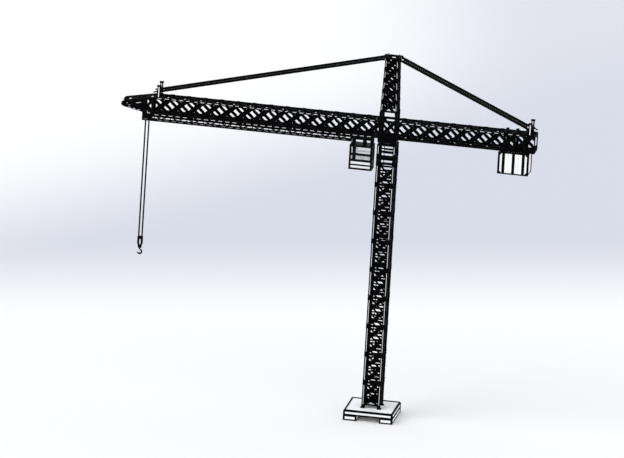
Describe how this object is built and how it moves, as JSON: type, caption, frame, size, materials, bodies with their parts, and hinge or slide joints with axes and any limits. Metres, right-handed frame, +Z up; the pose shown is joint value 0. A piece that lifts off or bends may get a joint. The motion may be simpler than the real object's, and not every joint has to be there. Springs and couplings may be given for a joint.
{
  "type": "tower crane",
  "caption": "Hammerhead tower crane: lattice mast on a concrete base, jib with trolley and hook block, tied counter-jib with concrete weights, and a glazed cab.",
  "frame": {"origin": "on the mast's axis, at the level of the ground that the two base runners stand on", "axes": "+Z up along the mast; the jib points along -X and the counter-jib along +X; Y runs across the jib"},
  "size_m": [35.0556, 4.1, 31.2],
  "materials": {
    "concrete": "matte",
    "edge_steel": "satin",
    "black_steel": "satin",
    "bearing_steel": "satin",
    "cab_frame": "satin",
    "cab_white": "satin",
    "cab_glass": "gloss",
    "seat_black": "matte",
    "console_grey": "matte",
    "rope_steel": "satin",
    "hook_steel": "satin"
  },
  "bodies": {
    "mast": {"base_slab": "concrete", "base_slab_edges": "edge_steel", "base_runners": "concrete", "base_runner_edges": "edge_steel", "anchor_feet": "black_steel", "mast_legs": "black_steel", "mast_lattice_x": "black_steel", "mast_lattice_y": "black_steel", "mast_ladder": "black_steel", "mast_top_frame": "black_steel", "slew_ring_fixed": "bearing_steel"},
    "superstructure": {"counterweights": "concrete", "counterweight_edges": "edge_steel", "turntable": "black_steel", "portal_sides": "black_steel", "portal_cross_beams": "black_steel", "tower_head_legs": "black_steel", "tower_head_lattice_x": "black_steel", "tower_head_lattice_y": "black_steel", "tower_cap": "black_steel", "jib_chords": "black_steel", "jib_side_lattices": "black_steel", "jib_top_lattice": "black_steel", "jib_bottom_lattice": "black_steel", "jib_nose_sides": "black_steel", "jib_nose_flats": "black_steel", "jib_nose_cross_beam": "black_steel", "jib_nose_drum": "black_steel", "jib_rails": "black_steel", "jib_rail_lattices": "black_steel", "counter_jib_chords": "black_steel", "counter_jib_side_lattices": "black_steel", "counter_jib_top_lattice": "black_steel", "counter_jib_bottom_lattice": "black_steel", "counter_jib_end_frame": "black_steel", "jib_tie_posts": "black_steel", "jib_ties": "black_steel", "counter_jib_tie_posts": "black_steel", "counter_jib_ties": "black_steel", "counterweight_yokes": "black_steel", "cab_hangers": "black_steel", "slew_ring_turning": "bearing_steel", "cab_side_frames": "cab_frame", "cab_front_frame": "cab_frame", "cab_rear_frames": "cab_frame", "cab_roof": "cab_frame", "cab_floor": "cab_frame", "cab_panels": "cab_white", "cab_windows": "cab_glass", "cab_seat": "seat_black", "cab_console": "console_grey"},
    "trolley": {"trolley_frame": "black_steel", "trolley_wheels": "bearing_steel", "trolley_sheaves": "bearing_steel", "hoist_ropes": "rope_steel"},
    "hook_block": {"block_cheeks": "black_steel", "block_sheave": "bearing_steel", "block_crosshead": "black_steel"},
    "hook": {"hook": "hook_steel"}
  },
  "joints": [
    {"name": "slew", "type": "hinge", "parent": "mast", "child": "superstructure", "pos_m": [0, 0, 23.8], "axis": [0, 0, 1], "continuous": true},
    {"name": "trolley_travel", "type": "slide", "parent": "superstructure", "child": "trolley", "axis": [1, 0, 0], "range_m": [0, 16.6]},
    {"name": "hoist", "type": "slide", "parent": "trolley", "child": "hook_block", "axis": [0, 0, 1], "range_m": [-11.3, 8.5], "deforming": ["hoist_ropes"]},
    {"name": "hook_swivel", "type": "hinge", "parent": "hook_block", "child": "hook", "pos_m": [-20.38, 0, 12.5], "axis": [0, 0, 1], "continuous": true}
  ]
}
